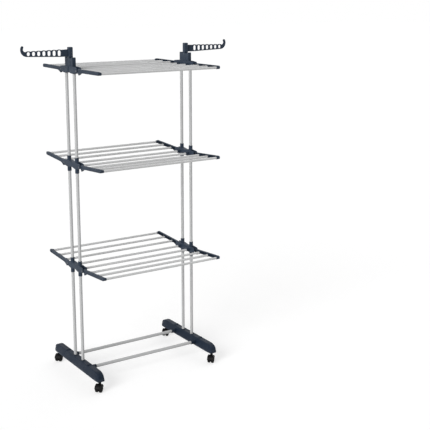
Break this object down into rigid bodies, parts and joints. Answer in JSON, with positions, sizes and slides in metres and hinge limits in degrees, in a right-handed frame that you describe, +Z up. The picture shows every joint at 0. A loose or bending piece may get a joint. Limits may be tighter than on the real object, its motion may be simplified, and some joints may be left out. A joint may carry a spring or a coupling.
{
  "type": "rolling clothes airer",
  "caption": "Free-standing rolling clothes airer with tiers of rods, wings that fold down, swing-out arms with holes for coat hangers, and casters under two foot beams.",
  "frame": {"origin": "on the floor under the middle of the airer, midway between the two ends", "axes": "+Z up, X along the rods with the right end at +X, the side that faces the viewer towards -Y"},
  "size_m": [1.175, 0.6292, 1.7167],
  "materials": {
    "slate_plastic": "satin dark blue-grey moulded plastic",
    "frame_tube": "light grey paint, satin",
    "rod_tube": "light grey paint, satin",
    "caster_plastic": "black moulded plastic",
    "wheel_plastic": "black moulded plastic"
  },
  "bodies": {
    "root": {"left_foot_beam": "slate_plastic", "right_foot_beam": "slate_plastic", "front_left_post": "frame_tube", "front_right_post": "frame_tube", "back_left_post": "frame_tube", "back_right_post": "frame_tube", "front_stretcher": "frame_tube", "back_stretcher": "frame_tube", "lower_left_bracket": "slate_plastic", "lower_right_bracket": "slate_plastic", "middle_left_bracket": "slate_plastic", "middle_right_bracket": "slate_plastic", "top_left_bracket": "slate_plastic", "top_right_bracket": "slate_plastic", "lower_front_centre_rod": "rod_tube", "lower_back_centre_rod": "rod_tube", "middle_front_centre_rod": "rod_tube", "middle_back_centre_rod": "rod_tube", "top_front_centre_rod": "rod_tube", "top_back_centre_rod": "rod_tube"},
    "lower_front_wing": {"lower_front_left_arm": "slate_plastic", "lower_front_right_arm": "slate_plastic", "lower_front_inner_rod": "rod_tube", "lower_front_middle_rod": "rod_tube", "lower_front_outer_rod": "rod_tube"},
    "lower_back_wing": {"lower_back_left_arm": "slate_plastic", "lower_back_right_arm": "slate_plastic", "lower_back_inner_rod": "rod_tube", "lower_back_middle_rod": "rod_tube", "lower_back_outer_rod": "rod_tube"},
    "middle_front_wing": {"middle_front_left_arm": "slate_plastic", "middle_front_right_arm": "slate_plastic", "middle_front_inner_rod": "rod_tube", "middle_front_middle_rod": "rod_tube", "middle_front_outer_rod": "rod_tube"},
    "middle_back_wing": {"middle_back_left_arm": "slate_plastic", "middle_back_right_arm": "slate_plastic", "middle_back_inner_rod": "rod_tube", "middle_back_middle_rod": "rod_tube", "middle_back_outer_rod": "rod_tube"},
    "top_front_wing": {"top_front_left_arm": "slate_plastic", "top_front_right_arm": "slate_plastic", "top_front_inner_rod": "rod_tube", "top_front_middle_rod": "rod_tube", "top_front_outer_rod": "rod_tube"},
    "top_back_wing": {"top_back_left_arm": "slate_plastic", "top_back_right_arm": "slate_plastic", "top_back_inner_rod": "rod_tube", "top_back_middle_rod": "rod_tube", "top_back_outer_rod": "rod_tube"},
    "left_hanger": {"left_hanger_arm": "slate_plastic"},
    "right_hanger": {"right_hanger_arm": "slate_plastic"},
    "front_left_swivel": {"front_left_caster_hood": "caster_plastic"},
    "front_left_wheelset": {"front_left_wheels": "wheel_plastic"},
    "front_right_swivel": {"front_right_caster_hood": "caster_plastic"},
    "front_right_wheelset": {"front_right_wheels": "wheel_plastic"},
    "back_left_swivel": {"back_left_caster_hood": "caster_plastic"},
    "back_left_wheelset": {"back_left_wheels": "wheel_plastic"},
    "back_right_swivel": {"back_right_caster_hood": "caster_plastic"},
    "back_right_wheelset": {"back_right_wheels": "wheel_plastic"}
  },
  "joints": [
    {"name": "fold_lower_front_wing", "type": "hinge", "parent": "root", "child": "lower_front_wing", "pos_m": [0, -0.085, 0.59], "axis": [1, 0, 0], "range_deg": [0, 93.5]},
    {"name": "fold_lower_back_wing", "type": "hinge", "parent": "root", "child": "lower_back_wing", "pos_m": [0, 0.085, 0.59], "axis": [-1, 0, 0], "range_deg": [0, 93.5]},
    {"name": "fold_middle_front_wing", "type": "hinge", "parent": "root", "child": "middle_front_wing", "pos_m": [0, -0.085, 1.122], "axis": [1, 0, 0], "range_deg": [0, 93.5]},
    {"name": "fold_middle_back_wing", "type": "hinge", "parent": "root", "child": "middle_back_wing", "pos_m": [0, 0.085, 1.122], "axis": [-1, 0, 0], "range_deg": [0, 93.5]},
    {"name": "fold_top_front_wing", "type": "hinge", "parent": "root", "child": "top_front_wing", "pos_m": [0, -0.085, 1.594], "axis": [1, 0, 0], "range_deg": [0, 90]},
    {"name": "fold_top_back_wing", "type": "hinge", "parent": "root", "child": "top_back_wing", "pos_m": [0, 0.085, 1.594], "axis": [-1, 0, 0], "range_deg": [0, 90]},
    {"name": "hanger_swing_left", "type": "hinge", "parent": "root", "child": "left_hanger", "pos_m": [-0.3315, 0, 1.652], "axis": [0, 0, 1], "range_deg": [0, 180]},
    {"name": "hanger_swing_right", "type": "hinge", "parent": "root", "child": "right_hanger", "pos_m": [0.3315, 0, 1.652], "axis": [0, 0, -1], "range_deg": [0, 180]},
    {"name": "swivel_front_left", "type": "hinge", "parent": "root", "child": "front_left_swivel", "pos_m": [-0.337, -0.239, 0.056], "axis": [0, 0, 1], "continuous": true},
    {"name": "wheel_spin_front_left", "type": "hinge", "parent": "front_left_swivel", "child": "front_left_wheelset", "pos_m": [-0.34619, -0.24671, 0.01962], "axis": [0.6428, -0.766, 0], "continuous": true},
    {"name": "swivel_front_right", "type": "hinge", "parent": "root", "child": "front_right_swivel", "pos_m": [0.337, -0.239, 0.056], "axis": [0, 0, 1], "continuous": true},
    {"name": "wheel_spin_front_right", "type": "hinge", "parent": "front_right_swivel", "child": "front_right_wheelset", "pos_m": [0.32781, -0.24671, 0.01962], "axis": [0.6428, -0.766, 0], "continuous": true},
    {"name": "swivel_back_left", "type": "hinge", "parent": "root", "child": "back_left_swivel", "pos_m": [-0.337, 0.239, 0.056], "axis": [0, 0, 1], "continuous": true},
    {"name": "wheel_spin_back_left", "type": "hinge", "parent": "back_left_swivel", "child": "back_left_wheelset", "pos_m": [-0.34619, 0.23129, 0.01962], "axis": [0.6428, -0.766, 0], "continuous": true},
    {"name": "swivel_back_right", "type": "hinge", "parent": "root", "child": "back_right_swivel", "pos_m": [0.337, 0.239, 0.056], "axis": [0, 0, 1], "continuous": true},
    {"name": "wheel_spin_back_right", "type": "hinge", "parent": "back_right_swivel", "child": "back_right_wheelset", "pos_m": [0.32781, 0.23129, 0.01962], "axis": [0.6428, -0.766, 0], "continuous": true}
  ]
}
